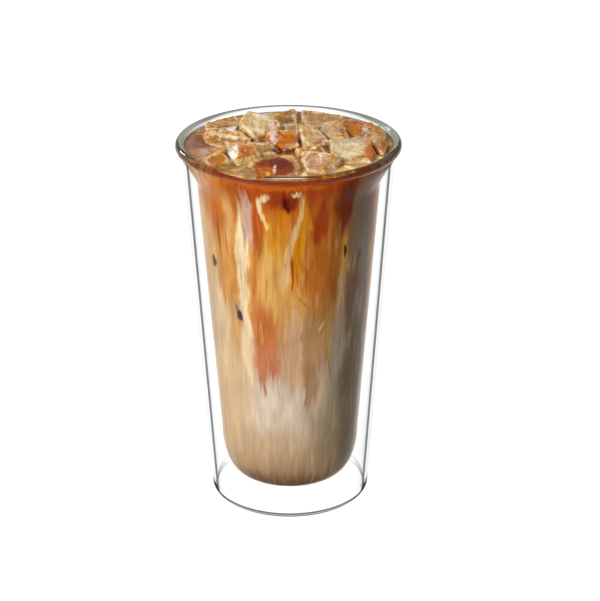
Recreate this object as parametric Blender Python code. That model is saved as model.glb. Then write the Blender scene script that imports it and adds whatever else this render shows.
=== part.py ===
"""Iced coffee in a double-walled glass tumbler, filled to the brim, with broken ice on top.

The glass is one turned solid: an outer wall, a rounded lip, and an inner vessel that hangs
from the lip with air round it. The drink is turned from the same inner outline, and each
piece of ice sits in its own pocket in the drink. Metres, +Z up, base centre at the origin.
"""

import random
from math import atan2, cos, degrees, pi, radians, sin

import bmesh
import bpy
from mathutils import Matrix, Vector
from mathutils.geometry import interpolate_bezier

# Driving dimensions of the glass
HEIGHT = 0.145
RIM_RADIUS = 0.0425
LIP_RADIUS = 0.0017
OUTER_WALL = 0.0017
INNER_WALL = 0.0016
BASE_RADIUS = 0.0311
BASE_THICKNESS = 0.0020
BASE_CORNER = 0.0022
SHOULDER_RADIUS = 0.0399
SHOULDER_HEIGHT = 0.1370
OUTER_WALL_TOP = 0.1403

# Inner face of the inner vessel
BOWL_FLOOR = 0.0099
BOWL_FLOOR_RADIUS = 0.0188
BOWL_LOW_RADIUS = 0.0254
BOWL_LOW_HEIGHT = 0.0274
BOWL_TOP_RADIUS = 0.03305
BOWL_TOP_HEIGHT = 0.1295
FLARE_START_PULL = (0.0333, 0.1322)
FLARE_END_PULL = (0.0359, 0.1355)
NECK_RADIUS = 0.03655
NECK_HEIGHT = 0.1392
LIP_START_PULL = (0.03665, 0.1405)
LIP_END_PULL = (0.0389, 0.1416)

# Air space between the walls, and the small hole that closes after blowing
AIR_TOP_RADIUS = 0.0381
VENT_RADIUS = 0.00175
PLUG_BOTTOM = 0.0003
PLUG_TOP = 0.0023

# Contents
GAP = 0.0003
DRINK_LEVEL = 0.1426
ICE_DEPTH = 0.0125
ICE_SPACING = 0.0013
ICE_EDGE = 0.0006
ICE_SHORTEST_EDGE = 0.0012

# The ice keeps inside a cone that follows the glass, given by one radius, its height and
# the cone's slope from upright in degrees; each piece is trimmed to it at these turns
ICE_WALL_RADIUS = 0.0373
ICE_WALL_HEIGHT = 0.1440
ICE_WALL_SLOPE = 21.0
ICE_WALL_TURNS = (-40, -20, 0, 20, 40)

# How ice breaks: the block that a piece starts from, as shares of its half width and depth,
# then ranges for the turn, slope and distance of its chips, in degrees and half widths
ICE_SEED = 7
BLOCK_REACH = 1.7
BLOCK_HEIGHT = 1.2
CHIP_HEADINGS = (0, 120, 240)
CHIP_TURN = (30, 90)
CHIP_SLOPE = (40, 60)
CHIP_DISTANCE = (0.55, 0.75)
UNDERCUT_TURN = 60
UNDERCUT_SLOPE = (110, 125)
UNDERCUT_DISTANCE = (0.95, 1.15)
FLAT_ANGLE = 4
POCKET_CORNER_STRETCH = 1.8

# Facets round a turned piece, and steps in its curves
TURN_STEPS = 56
PLUG_STEPS = 16
LIP_STEPS = 8
CURVE_STEPS = 5
CORNER_STEPS = 3
LIP_UNDERSIDE = -80
SHARP_ANGLE = 40
WELD_DISTANCE = 1e-6

# Colours, as linear RGB
GLASS_COLOUR = (0.96, 0.98, 0.96)
SILICONE_COLOUR = (0.90, 0.90, 0.88)
COFFEE_COLOUR = (0.50, 0.26, 0.10)
ICE_COLOUR = (0.83, 0.68, 0.50)

# Each piece of ice: centre, height of its top, half width, then the heading
# and angle in degrees by which its top slopes down (heading -90 is the front)
ICE_PIECES = {
    "back_left": ((-0.0122, 0.0135), 0.1484, 0.0068, -105, 18),
    "left_ridge": ((-0.0235, 0.0190), 0.1452, 0.0060, -80, 8),
    "left_slab": ((-0.0235, 0.0065), 0.1448, 0.0066, -120, 12),
    "front_left": ((-0.0178, -0.0140), 0.1464, 0.0064, -95, 22),
    "left_window": ((-0.0253, -0.0165), 0.1443, 0.0044, -130, 8),
    "centre": ((-0.0002, 0.0010), 0.1466, 0.0050, -90, 24),
    "centre_right": ((0.0085, 0.0025), 0.1468, 0.0060, -60, 22),
    "back_peak": ((-0.0012, 0.0262), 0.1450, 0.0058, -70, 14),
    "back_right": ((0.0110, 0.0258), 0.1450, 0.0074, -80, 6),
    "right_inner": ((0.0168, 0.0105), 0.1464, 0.0052, -100, 22),
    "right_front": ((0.0232, -0.0105), 0.1460, 0.0084, -95, 16),
    "right_amber": ((0.0262, 0.0150), 0.1447, 0.0060, -90, 12),
    "far_right_back": ((0.0340, 0.0085), 0.1452, 0.0056, -30, 8),
    "far_right_front": ((0.0355, -0.0055), 0.1448, 0.0050, -20, 10),
    "front_right": ((0.0108, -0.0225), 0.1457, 0.0060, -115, 20),
    "front_window": ((-0.0048, -0.0255), 0.1443, 0.0088, -90, 2),
    "small_centre": ((-0.0094, -0.0070), 0.1446, 0.0040, -90, 10),
    "amber_sliver": ((0.0100, -0.0112), 0.1450, 0.0044, -60, 22),
    "back_small": ((0.0032, 0.0150), 0.1450, 0.0040, -90, 10),
}

# Spots at the surface that stay free of ice: centre and half width
BARE_SPOTS = (
    ((-0.0345, -0.0080), 0.0065),
    ((-0.0200, -0.0330), 0.0050),
    ((0.0080, -0.0400), 0.0050),
    ((0.0260, -0.0300), 0.0060),
)


def clear_scene():
    """Empties the scene."""
    for obj in list(bpy.data.objects):
        bpy.data.objects.remove(obj, do_unlink=True)


def make_material(name, colour, roughness, transmission=0.0, ior=1.47):
    """Makes one Principled BSDF material."""
    material = bpy.data.materials.new(name)
    material.use_nodes = True
    shader = material.node_tree.nodes["Principled BSDF"]
    shader.inputs["Base Color"].default_value = (*colour, 1.0)
    shader.inputs["Roughness"].default_value = roughness
    shader.inputs["Transmission Weight"].default_value = transmission
    shader.inputs["IOR"].default_value = ior
    return material


def arc(centre, radii, start, end, steps):
    """Points along an elliptical arc in the (radius, height) plane, angles in degrees."""
    points = []
    for step in range(steps + 1):
        angle = radians(start + (end - start) * step / steps)
        points.append((centre[0] + radii[0] * cos(angle), centre[1] + radii[1] * sin(angle)))
    return points


def curve(start, start_pull, end_pull, end, steps):
    """Points along one Bezier curve in the (radius, height) plane."""
    handles = [Vector((*point, 0.0)) for point in (start, start_pull, end_pull, end)]
    return [(point.x, point.y) for point in interpolate_bezier(*handles, steps + 1)]


def offset(outline, distance):
    """Moves an outline that runs outwards and up by a distance to its right-hand side."""
    moved = []
    for index, point in enumerate(outline):
        before = Vector(outline[max(index - 1, 0)])
        after = Vector(outline[min(index + 1, len(outline) - 1)])
        along = (after - before).normalized()
        moved.append((point[0] + along.y * distance, point[1] - along.x * distance))
    moved[0] = (0.0, moved[0][1])
    return moved


def outer_radius(height):
    """Outer radius of the outer wall at a height."""
    return BASE_RADIUS + (SHOULDER_RADIUS - BASE_RADIUS) * height / SHOULDER_HEIGHT


def bowl_outline():
    """Inner face of the inner vessel, from its floor's centre up to the inside of the lip."""
    corner = (BOWL_LOW_RADIUS - BOWL_FLOOR_RADIUS, BOWL_LOW_HEIGHT - BOWL_FLOOR)
    centre = (BOWL_FLOOR_RADIUS, BOWL_LOW_HEIGHT)
    outline = [(0.0, BOWL_FLOOR)] + arc(centre, corner, -90, 0, CURVE_STEPS)
    lip_inside = (RIM_RADIUS - 2 * LIP_RADIUS, HEIGHT - LIP_RADIUS)
    top = (BOWL_TOP_RADIUS, BOWL_TOP_HEIGHT)
    neck = (NECK_RADIUS, NECK_HEIGHT)
    outline += curve(top, FLARE_START_PULL, FLARE_END_PULL, neck, CURVE_STEPS)
    return outline + curve(neck, LIP_START_PULL, LIP_END_PULL, lip_inside, CORNER_STEPS)[1:]


def glass_outline():
    """The whole outline of the glass, from inside the bowl over the lip to under the bowl."""
    bowl = bowl_outline()
    lip_centre = (RIM_RADIUS - LIP_RADIUS, HEIGHT - LIP_RADIUS)
    lip = arc(lip_centre, (LIP_RADIUS, LIP_RADIUS), 180, 0, LIP_STEPS)[1:]
    lip += arc(lip_centre, (LIP_RADIUS, LIP_RADIUS), 0, LIP_UNDERSIDE, LIP_STEPS // 2)[1:]
    wall_top = (outer_radius(OUTER_WALL_TOP), OUTER_WALL_TOP)
    neck = (wall_top[0], lip[-1][1])
    fillet = curve(lip[-1], neck, neck, wall_top, CORNER_STEPS)[1:]
    corner_centre = (BASE_RADIUS - BASE_CORNER, BASE_CORNER)
    corner = arc(corner_centre, (BASE_CORNER, BASE_CORNER), 0, -90, CORNER_STEPS)
    vent = [(VENT_RADIUS, 0.0), (VENT_RADIUS, BASE_THICKNESS)]
    inner_corner = BASE_CORNER - OUTER_WALL / 2
    inner_centre = (BASE_RADIUS - OUTER_WALL - inner_corner, BASE_THICKNESS + inner_corner)
    air_corner = arc(inner_centre, (inner_corner, inner_corner), -90, 0, CORNER_STEPS)
    under_bowl = [point for point in offset(bowl, INNER_WALL) if point[0] < AIR_TOP_RADIUS]
    air_top = under_bowl[-1]
    wall_inside = outer_radius(air_top[1]) - OUTER_WALL
    air_crown = arc(
        ((wall_inside + air_top[0]) / 2, air_top[1]),
        ((wall_inside - air_top[0]) / 2, (wall_inside - air_top[0]) / 2),
        0, 180, CORNER_STEPS,
    )[:-1]
    return bowl + lip + fillet + corner + vent + air_corner + air_crown + under_bowl[::-1]


def drink_outline():
    """The drink's outline, a gap inside the bowl, from the floor's centre to the surface's."""
    side = offset(bowl_outline(), -GAP)
    below = [point for point in side if point[1] < DRINK_LEVEL]
    above = side[len(below)]
    share = (DRINK_LEVEL - below[-1][1]) / (above[1] - below[-1][1])
    edge = below[-1][0] + share * (above[0] - below[-1][0])
    return below + [(edge, DRINK_LEVEL), (0.0, DRINK_LEVEL)]


def plug_outline():
    """The small plug in the vent, with a domed top."""
    radius = VENT_RADIUS - GAP
    dome = arc((0.0, PLUG_TOP - radius / 2), (radius, radius / 2), 0, 90, CORNER_STEPS)
    return [(0.0, PLUG_BOTTOM), (radius, PLUG_BOTTOM)] + dome


def add_object(name, bm, material):
    """Turns a bmesh into a named object in the scene."""
    mesh = bpy.data.meshes.new(name)
    bm.to_mesh(mesh)
    bm.free()
    mesh.materials.append(material)
    obj = bpy.data.objects.new(name, mesh)
    bpy.context.scene.collection.objects.link(obj)
    return obj


def turned_solid(name, outline, steps, material):
    """Spins an outline about the Z axis into one closed, smooth-shaded solid."""
    bm = bmesh.new()
    ring = [bm.verts.new((radius, 0.0, height)) for radius, height in outline]
    edges = [bm.edges.new(pair) for pair in zip(ring, ring[1:])]
    bmesh.ops.spin(
        bm, geom=ring + edges, cent=(0, 0, 0), axis=(0, 0, 1), angle=2 * pi,
        steps=steps, use_merge=True,
    )
    bmesh.ops.remove_doubles(bm, verts=bm.verts, dist=WELD_DISTANCE)
    bmesh.ops.recalc_face_normals(bm, faces=bm.faces)
    obj = add_object(name, bm, material)
    obj.data.shade_smooth()
    obj.data.set_sharp_from_angle(angle=radians(SHARP_ANGLE))
    return obj


def cut_away(bm, point, normal):
    """Removes what lies beyond a plane and closes the cut."""
    geometry = bm.verts[:] + bm.edges[:] + bm.faces[:]
    bmesh.ops.bisect_plane(bm, geom=geometry, plane_co=point, plane_no=normal, clear_outer=True)
    rim = [edge for edge in bm.edges if edge.is_boundary]
    bmesh.ops.holes_fill(bm, edges=rim, sides=0)


def slope_normal(heading, angle):
    """Unit normal of a face that slopes down towards a heading, both in degrees."""
    lean, turn = radians(angle), radians(heading)
    return Vector((sin(lean) * cos(turn), sin(lean) * sin(turn), cos(lean)))


def ice_block(name, rng):
    """One sharp-edged piece of ice, cut clear of its neighbours and of the glass."""
    (x, y), top, half_width, heading, angle = ICE_PIECES[name]
    middle = Vector((x, y, top - ICE_DEPTH / 2))
    bm = bmesh.new()
    place = Matrix.Translation(middle) @ Matrix.Rotation(rng.uniform(0, pi / 2), 4, "Z")
    width = 2 * half_width * BLOCK_REACH
    size = Matrix.Diagonal((width, width, ICE_DEPTH * BLOCK_HEIGHT, 1.0))
    bmesh.ops.create_cube(bm, size=1.0, matrix=place @ size)

    neighbours = [(spot[0], spot[2]) for other, spot in ICE_PIECES.items() if other != name]
    for spot, other_width in neighbours + list(BARE_SPOTS):
        across = Vector((spot[0] - x, spot[1] - y, 0.0))
        share = across.length * half_width / (half_width + other_width)
        cut_away(bm, middle + across.normalized() * (share - ICE_SPACING / 2), across)

    straight_out = degrees(atan2(y, x))
    for turn in ICE_WALL_TURNS:
        outward = slope_normal(straight_out + turn, 90 + ICE_WALL_SLOPE)
        level_out = slope_normal(straight_out + turn, 90)
        wall_point = level_out * ICE_WALL_RADIUS + Vector((0.0, 0.0, ICE_WALL_HEIGHT))
        cut_away(bm, wall_point, outward)

    summit = Vector((x, y, top))
    cut_away(bm, summit, slope_normal(heading, angle))
    for chip_heading in CHIP_HEADINGS:
        side = heading + chip_heading + rng.uniform(*CHIP_TURN)
        chip = slope_normal(side, rng.uniform(*CHIP_SLOPE))
        cut_away(bm, summit + chip * half_width * rng.uniform(*CHIP_DISTANCE), chip)
        undercut = slope_normal(side + UNDERCUT_TURN, rng.uniform(*UNDERCUT_SLOPE))
        cut_away(bm, middle + undercut * half_width * rng.uniform(*UNDERCUT_DISTANCE), undercut)

    bmesh.ops.remove_doubles(bm, verts=bm.verts, dist=ICE_SHORTEST_EDGE)
    bmesh.ops.delete(bm, geom=bm.faces[:] + bm.edges[:], context="EDGES_FACES")
    bmesh.ops.convex_hull(bm, input=bm.verts)
    loose = [vert for vert in bm.verts if not vert.link_faces]
    bmesh.ops.delete(bm, geom=loose, context="VERTS")
    bmesh.ops.dissolve_limit(bm, angle_limit=radians(FLAT_ANGLE), verts=bm.verts, edges=bm.edges)
    bm.normal_update()
    return bm


def add_pocket(pockets, block):
    """Adds the hull of a block of ice, grown by the gap, to the pockets' bmesh."""
    corners = []
    for vert in block.verts:
        stretch = min(vert.calc_shell_factor(), POCKET_CORNER_STRETCH)
        corners.append(pockets.verts.new(vert.co + vert.normal * GAP * stretch))
    bmesh.ops.convex_hull(pockets, input=corners)
    loose = [vert for vert in corners if not vert.link_faces]
    bmesh.ops.delete(pockets, geom=loose, context="VERTS")


def wear_edges(block):
    """Bevels a block's edges, as melting does."""
    bmesh.ops.bevel(
        block, geom=block.edges[:], offset=ICE_EDGE, segments=1, profile=0.5, affect="EDGES",
        clamp_overlap=True,
    )
    bmesh.ops.triangulate(block, faces=block.faces)
    bmesh.ops.recalc_face_normals(block, faces=block.faces)


def make_ice():
    """Makes every piece of ice, and one cutter that holds a pocket for each."""
    rng = random.Random(ICE_SEED)
    pockets = bmesh.new()
    for name in ICE_PIECES:
        block = ice_block(name, rng)
        add_pocket(pockets, block)
        wear_edges(block)
        ice = make_material("ice_" + name, ICE_COLOUR, 0.15, transmission=0.3, ior=1.31)
        add_object("ice_" + name, block, ice)
    bmesh.ops.recalc_face_normals(pockets, faces=pockets.faces)
    cutter = add_object("ice_pockets", pockets, make_material("pocket", ICE_COLOUR, 0.5))
    cutter.hide_render = True
    cutter.display_type = "WIRE"
    return cutter


def make_drink(cutter):
    """Makes the drink and cuts the ice's pockets into it."""
    coffee = make_material("coffee", COFFEE_COLOUR, 0.2)
    drink = turned_solid("drink", drink_outline(), TURN_STEPS, coffee)
    pockets = drink.modifiers.new("ice_pockets", "BOOLEAN")
    pockets.operation = "DIFFERENCE"
    pockets.solver = "EXACT"
    pockets.object = cutter


def main():
    """Builds the glass, its plug, the ice and the drink."""
    clear_scene()
    clear_glass = make_material("clear_glass", GLASS_COLOUR, 0.02, transmission=1.0)
    turned_solid("glass", glass_outline(), TURN_STEPS, clear_glass)
    silicone = make_material("silicone", SILICONE_COLOUR, 0.35, transmission=0.5, ior=1.41)
    turned_solid("vent_plug", plug_outline(), PLUG_STEPS, silicone)
    make_drink(make_ice())


main()
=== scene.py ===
# %% [markdown]
# # Iced coffee in a double-walled glass
#
# This lesson dresses a finished CAD model of an iced coffee. The model is the frame: a tall
# glass with two walls and air between them, coffee and milk filled almost to the brim, and
# nineteen broken pieces of ice that float at the top. Everything is in metres, with the middle
# of the base at the origin and the front of the glass towards -Y.

from math import cos, pi, radians, sin

import bmesh
import bpy
import numpy as np
from mathutils import Matrix, Vector, noise
from mathutils.geometry import interpolate_bezier


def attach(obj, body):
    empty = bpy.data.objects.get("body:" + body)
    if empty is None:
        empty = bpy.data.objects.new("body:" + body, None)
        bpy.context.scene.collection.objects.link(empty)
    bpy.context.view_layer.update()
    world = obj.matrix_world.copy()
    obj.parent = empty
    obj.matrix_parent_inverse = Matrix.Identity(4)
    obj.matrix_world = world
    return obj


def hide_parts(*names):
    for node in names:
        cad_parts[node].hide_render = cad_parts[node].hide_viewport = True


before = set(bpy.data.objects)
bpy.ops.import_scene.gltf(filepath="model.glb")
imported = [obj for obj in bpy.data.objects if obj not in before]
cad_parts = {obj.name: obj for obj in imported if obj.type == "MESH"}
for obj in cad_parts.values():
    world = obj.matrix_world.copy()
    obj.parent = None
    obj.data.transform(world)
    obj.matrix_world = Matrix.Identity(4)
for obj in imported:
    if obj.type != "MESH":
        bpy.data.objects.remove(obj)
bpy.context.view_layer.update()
scene = bpy.context.scene

# %% [markdown]
# ## Colours and nodes
#
# Colours are picked on a screen, as sRGB hex values, but a shader wants linear light, so one
# function turns one into the other. One more small function adds a shader node with its
# settings, stops and links, because a material here is a few dozen of them.

# %% Helpers for colours and nodes
def linear(hex_colour):
    """An sRGB hex colour as linear RGBA."""
    channels = []
    for start in (1, 3, 5):
        value = int(hex_colour[start:start + 2], 16) / 255
        channels.append(value / 12.92 if value <= 0.04045 else ((value + 0.055) / 1.055) ** 2.4)
    return (*channels, 1.0)


# The setting that makes a Mix node mix colours
COLOURS = {"data_type": "RGBA"}


def add(tree, kind, settings=(), stops=(), **inputs):
    """Adds a node to a tree. Settings are properties by name, or the name of an operation.
    Stops are a colour ramp's (position, colour) pairs. Inputs are sockets or nodes to link, or
    values to set, by name or as _0, _1. A node stands for its first output."""
    node = tree.nodes.new("ShaderNode" + kind)
    if isinstance(settings, str):
        settings = {"operation": settings}
    for key, value in dict(settings).items():
        setattr(node, key, value)
    if stops:
        ramp = node.color_ramp.elements
        ramp[0].position, ramp[0].color = stops[0]
        ramp[1].position, ramp[1].color = stops[-1]
        for position, colour in stops[1:-1]:
            ramp.new(position).color = colour
    for key, value in inputs.items():
        socket = node.inputs[int(key[1:])] if key[0] == "_" else node.inputs[key.replace("_", " ")]
        if isinstance(value, bpy.types.Node):
            value = value.outputs[0]
        if isinstance(value, bpy.types.NodeSocket):
            tree.links.new(value, socket)
        else:
            socket.default_value = value
    return node


def finish_of(name, **inputs):
    """A new material with one Principled shader: (material, its tree, its shader)."""
    material = bpy.data.materials.new(name)
    material.use_nodes = True
    shader = material.node_tree.nodes["Principled BSDF"]
    for key, value in inputs.items():
        shader.inputs[key.replace("_", " ")].default_value = value
    return material, material.node_tree, shader


def ramp_stops(*stops):
    """A ramp's stops with their sRGB hex colours made linear."""
    return [(position, linear(colour)) for position, colour in stops]


print("Middle grey on a screen is", round(linear("#808080")[0], 3), "in linear light")

# %% [markdown]
# ## The camera
#
# The glass is seen from a little above, with a long lens, so its sides hardly converge. The
# camera stands 70 cm in front of the glass and 39 cm up, and looks down by about 24 degrees.

# %% Camera
CAMERA_PLACE = Vector((0.0, -0.69972, 0.38697))
CAMERA_PITCH = radians(-23.753)
CAMERA_YAW = radians(-0.3378)
CAMERA_ROLL = radians(-0.1548)
CAMERA_LENS = 118.24

camera_data = bpy.data.cameras.new("camera")
camera_data.lens = CAMERA_LENS
camera_data.sensor_width = 36.0
camera = bpy.data.objects.new("camera", camera_data)
level_look = Matrix.Rotation(CAMERA_YAW, 4, "Z") @ Matrix.Rotation(pi / 2 + CAMERA_PITCH, 4, "X")
roll = Matrix.Rotation(CAMERA_ROLL, 4, "Z")
camera.matrix_world = Matrix.Translation(CAMERA_PLACE) @ level_look @ roll
scene.collection.objects.link(camera)
scene.camera = camera
scene.view_settings.view_transform = "Standard"
print("Camera at", tuple(round(v, 3) for v in camera.location), "lens", round(camera_data.lens, 1))

# %% [markdown]
# ## Floor and light
#
# Clear glass shows what lies round it, so the room matters as much as the glass. The floor is a
# wide white sweep. The sky is bright overhead and dim low down, because the surface of the drink
# and the wet ice mirror its low part, and a bright one would wash them out. A large soft lamp to
# the left does most of the modelling, and a small one behind draws the glints on the lip.

# %% Floor
FLOOR_SIZE = 8.0
FLOOR_DROP = 0.0002
TABLE_GLOW = 1.0

floor_bm = bmesh.new()
bmesh.ops.create_grid(floor_bm, x_segments=1, y_segments=1, size=FLOOR_SIZE / 2)
floor_mesh = bpy.data.meshes.new("floor")
floor_bm.to_mesh(floor_mesh)
floor_bm.free()
floor = bpy.data.objects.new("floor", floor_mesh)
scene.collection.objects.link(floor)
floor.location.z = -FLOOR_DROP
# Opal acrylic, cast and matt, and lit from within, so it shows white whatever falls on it
light_table, _, _ = finish_of(
    "opal_acrylic", Base_Color=linear("#6A6A6A"), Roughness=0.9, Specular_IOR_Level=0.1,
    Emission_Color=linear("#FFFFFF"), Emission_Strength=TABLE_GLOW)
floor_mesh.materials.append(light_table)
print("Floor:", FLOOR_SIZE, "m wide")

# %% Light
# The strength of the sky low down and overhead, and the heights between which it changes
SKY_LOW = 0.3
SKY_HIGH = 0.9
LOW_END = 0.35
HIGH_START = 0.85

world = bpy.data.worlds.new("studio")
world.use_nodes = True
scene.world = world
sky = world.node_tree
direction = add(sky, "TexCoord").outputs["Generated"]
height = add(sky, "SeparateXYZ", Vector=direction).outputs["Z"]
level = add(sky, "MapRange", _0=height, _1=LOW_END, _2=HIGH_START, _3=SKY_LOW, _4=SKY_HIGH)
sky.links.new(level.outputs["Result"], sky.nodes["Background"].inputs["Strength"])
sky.nodes["Background"].inputs["Color"].default_value = (1.0, 1.0, 1.0, 1.0)


def soft_lamp(name, place, target, size, power):
    """An area lamp that faces a point: sizes in metres, power in watts."""
    data = bpy.data.lights.new(name, "AREA")
    data.shape = "RECTANGLE"
    data.size, data.size_y = size
    data.energy = power
    lamp = bpy.data.objects.new(name, data)
    lamp.location = place
    lamp.rotation_euler = (Vector(target) - Vector(place)).to_track_quat("-Z", "Y").to_euler()
    scene.collection.objects.link(lamp)


soft_lamp("key", place=(-0.66, -0.90, 0.55), target=(0, 0, 0.07), size=(0.8, 0.9), power=27.0)
soft_lamp("back", place=(-0.55, 0.9, 0.62), target=(0, 0, 0.14), size=(0.14, 0.14), power=1.6)

# %% [markdown]
# ## The glass
#
# The glass is borosilicate, blown and turned: an outer wall, a rounded lip and an inner vessel
# that hangs from the lip. It could keep the CAD's facets, but clear glass shows each one as a
# bent line, so the same outline is drawn with more steps and spun again.

# %% The outline of the glass, in metres
HEIGHT = 0.145
RIM_RADIUS = 0.0425
LIP_RADIUS = 0.0017
OUTER_WALL = 0.0017
INNER_WALL = 0.0016
BASE_RADIUS = 0.0311
BASE_THICKNESS = 0.0020
BASE_CORNER = 0.0022
SHOULDER_RADIUS = 0.0399
SHOULDER_HEIGHT = 0.1370
OUTER_WALL_TOP = 0.1403
BOWL_FLOOR = 0.0099
BOWL_FLOOR_RADIUS = 0.0188
BOWL_LOW_RADIUS = 0.0254
BOWL_LOW_HEIGHT = 0.0274
BOWL_TOP_RADIUS = 0.03305
BOWL_TOP_HEIGHT = 0.1295
FLARE_START_PULL = (0.0333, 0.1322)
FLARE_END_PULL = (0.0359, 0.1355)
NECK_RADIUS = 0.03655
NECK_HEIGHT = 0.1392
LIP_START_PULL = (0.03665, 0.1405)
LIP_END_PULL = (0.0389, 0.1416)
AIR_TOP_RADIUS = 0.0381
VENT_RADIUS = 0.00175

TURN_STEPS = 160
CURVE_STEPS = 14
LIP_STEPS = 20
LIP_UNDERSIDE = -80
CORNER_STEPS = 8
WALL_STEPS = 12
WELD = 1e-6


def arc(centre, radii, start, end, steps):
    """Points along an elliptical arc in the (radius, height) plane, angles in degrees."""
    turns = [radians(start + (end - start) * step / steps) for step in range(steps + 1)]
    return [(centre[0] + radii[0] * cos(turn), centre[1] + radii[1] * sin(turn)) for turn in turns]


def curve(start, start_pull, end_pull, end, steps):
    """Points along one Bezier curve in the (radius, height) plane."""
    handles = [Vector((*point, 0.0)) for point in (start, start_pull, end_pull, end)]
    return [(point.x, point.y) for point in interpolate_bezier(*handles, steps + 1)]


def straight(start, end, steps):
    """Points between two ends, closer together near the ends, which keeps the wall flat."""
    shares = [(1 - cos(pi * step / steps)) / 2 for step in range(1, steps)]
    return [tuple(Vector(start).lerp(Vector(end), share)) for share in shares]


def offset(outline, distance):
    """Moves an outline that runs outwards and up by a distance to its right-hand side."""
    moved = []
    for index, point in enumerate(outline):
        before = Vector(outline[max(index - 1, 0)])
        after = Vector(outline[min(index + 1, len(outline) - 1)])
        along = (after - before).normalized()
        moved.append((point[0] + along.y * distance, point[1] - along.x * distance))
    moved[0] = (0.0, moved[0][1])
    return moved


def outer_radius(height):
    """Outer radius of the outer wall at a height."""
    return BASE_RADIUS + (SHOULDER_RADIUS - BASE_RADIUS) * height / SHOULDER_HEIGHT


# %% From the outline to a turned mesh
def bowl_outline():
    """Inner face of the inner vessel, from its floor's centre up to the inside of the lip."""
    corner = (BOWL_LOW_RADIUS - BOWL_FLOOR_RADIUS, BOWL_LOW_HEIGHT - BOWL_FLOOR)
    centre = (BOWL_FLOOR_RADIUS, BOWL_LOW_HEIGHT)
    low = arc(centre, corner, -90, 0, CURVE_STEPS)
    bowl_floor = [(0.0, BOWL_FLOOR), (BOWL_FLOOR_RADIUS / 2, BOWL_FLOOR)]
    lip_inside = (RIM_RADIUS - 2 * LIP_RADIUS, HEIGHT - LIP_RADIUS)
    top = (BOWL_TOP_RADIUS, BOWL_TOP_HEIGHT)
    neck = (NECK_RADIUS, NECK_HEIGHT)
    wall = straight(low[-1], top, WALL_STEPS)
    flare = curve(top, FLARE_START_PULL, FLARE_END_PULL, neck, CURVE_STEPS)
    lip = curve(neck, LIP_START_PULL, LIP_END_PULL, lip_inside, CORNER_STEPS)
    return bowl_floor + low + wall + flare + lip[1:]


def glass_outline():
    """The whole outline of the glass, from inside the bowl over the lip to under the bowl."""
    bowl = bowl_outline()
    lip_centre = (RIM_RADIUS - LIP_RADIUS, HEIGHT - LIP_RADIUS)
    lip = arc(lip_centre, (LIP_RADIUS, LIP_RADIUS), 180, LIP_UNDERSIDE, LIP_STEPS)[1:]
    wall_top = (outer_radius(OUTER_WALL_TOP), OUTER_WALL_TOP)
    neck = (wall_top[0], lip[-1][1])
    fillet = curve(lip[-1], neck, neck, wall_top, CORNER_STEPS)[1:]
    corner_centre = (BASE_RADIUS - BASE_CORNER, BASE_CORNER)
    corner = arc(corner_centre, (BASE_CORNER, BASE_CORNER), 0, -90, CORNER_STEPS)
    outside = straight(wall_top, corner[0], WALL_STEPS)
    vent = [(BASE_RADIUS / 2, 0.0), (VENT_RADIUS, 0.0), (VENT_RADIUS, BASE_THICKNESS)]
    inner_corner = BASE_CORNER - OUTER_WALL / 2
    inner_centre = (BASE_RADIUS - OUTER_WALL - inner_corner, BASE_THICKNESS + inner_corner)
    air_corner = arc(inner_centre, (inner_corner, inner_corner), -90, 0, CORNER_STEPS)
    under_bowl = [point for point in offset(bowl, INNER_WALL) if point[0] < AIR_TOP_RADIUS]
    air_top = under_bowl[-1]
    wall_inside = outer_radius(air_top[1]) - OUTER_WALL
    half_gap = (wall_inside - air_top[0]) / 2
    air_crown = arc((wall_inside - half_gap, air_top[1]), (half_gap, half_gap), 0, 180, CORNER_STEPS)
    inside = straight(air_corner[-1], air_crown[0], WALL_STEPS)
    return (bowl + lip + fillet + outside + corner + vent + air_corner + inside + air_crown[:-1]
            + under_bowl[::-1])


def turned(outline):
    """Spins an outline about the Z axis into one closed bmesh with outward normals."""
    bm = bmesh.new()
    ring = [bm.verts.new((radius, 0.0, height)) for radius, height in outline]
    edges = [bm.edges.new(pair) for pair in zip(ring, ring[1:])]
    bmesh.ops.spin(bm, geom=ring + edges, cent=(0, 0, 0), axis=(0, 0, 1), angle=2 * pi,
                   steps=TURN_STEPS, use_merge=True)
    bmesh.ops.remove_doubles(bm, verts=bm.verts, dist=WELD)
    bmesh.ops.recalc_face_normals(bm, faces=bm.faces)
    return bm


def add_piece(name, bm, *materials, sharp=40):
    """Turns a bmesh into a smooth-shaded object in the scene."""
    mesh = bpy.data.meshes.new(name)
    bm.to_mesh(mesh)
    bm.free()
    for material in materials:
        mesh.materials.append(material)
    mesh.shade_smooth()
    mesh.set_sharp_from_angle(angle=radians(sharp))
    obj = bpy.data.objects.new(name, mesh)
    scene.collection.objects.link(obj)
    return obj


print("Outline of the glass:", len(glass_outline()), "points")

# %% [markdown]
# ## The finish of the glass
#
# Borosilicate is clear. Its real edges go dark where the eye looks along a wall, because what
# bends there comes from the dark parts of a room. A white sweep has no dark part, so a Layer Weight
# ramp paints that dark reflection on the glass in the narrow band of angles where it happens, and
# the rest stays as clear as it is. The faint grey-green of the thick lip, the brown of the drink on
# its front, and the fine lines of the base and the lip are painted reflections too: drawn by
# height and by side, and faded on the far half, so that none is seen twice.

# %% Clear glass
def glass_finish(name, ior, roughness=0.0):
    """Clear glass: (material, its tree, its shader, how far a face turns from the eye)."""
    # The tint dims the mirror part, which would lay a white veil over the drink
    finish, tree, shader = finish_of(
        name, Base_Color=linear("#FFFFFF"), Roughness=roughness, IOR=ior, Transmission_Weight=1.0,
        Specular_Tint=linear("#505050"))
    return finish, tree, shader, add(tree, "LayerWeight", Blend=0.5).outputs["Facing"]


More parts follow.
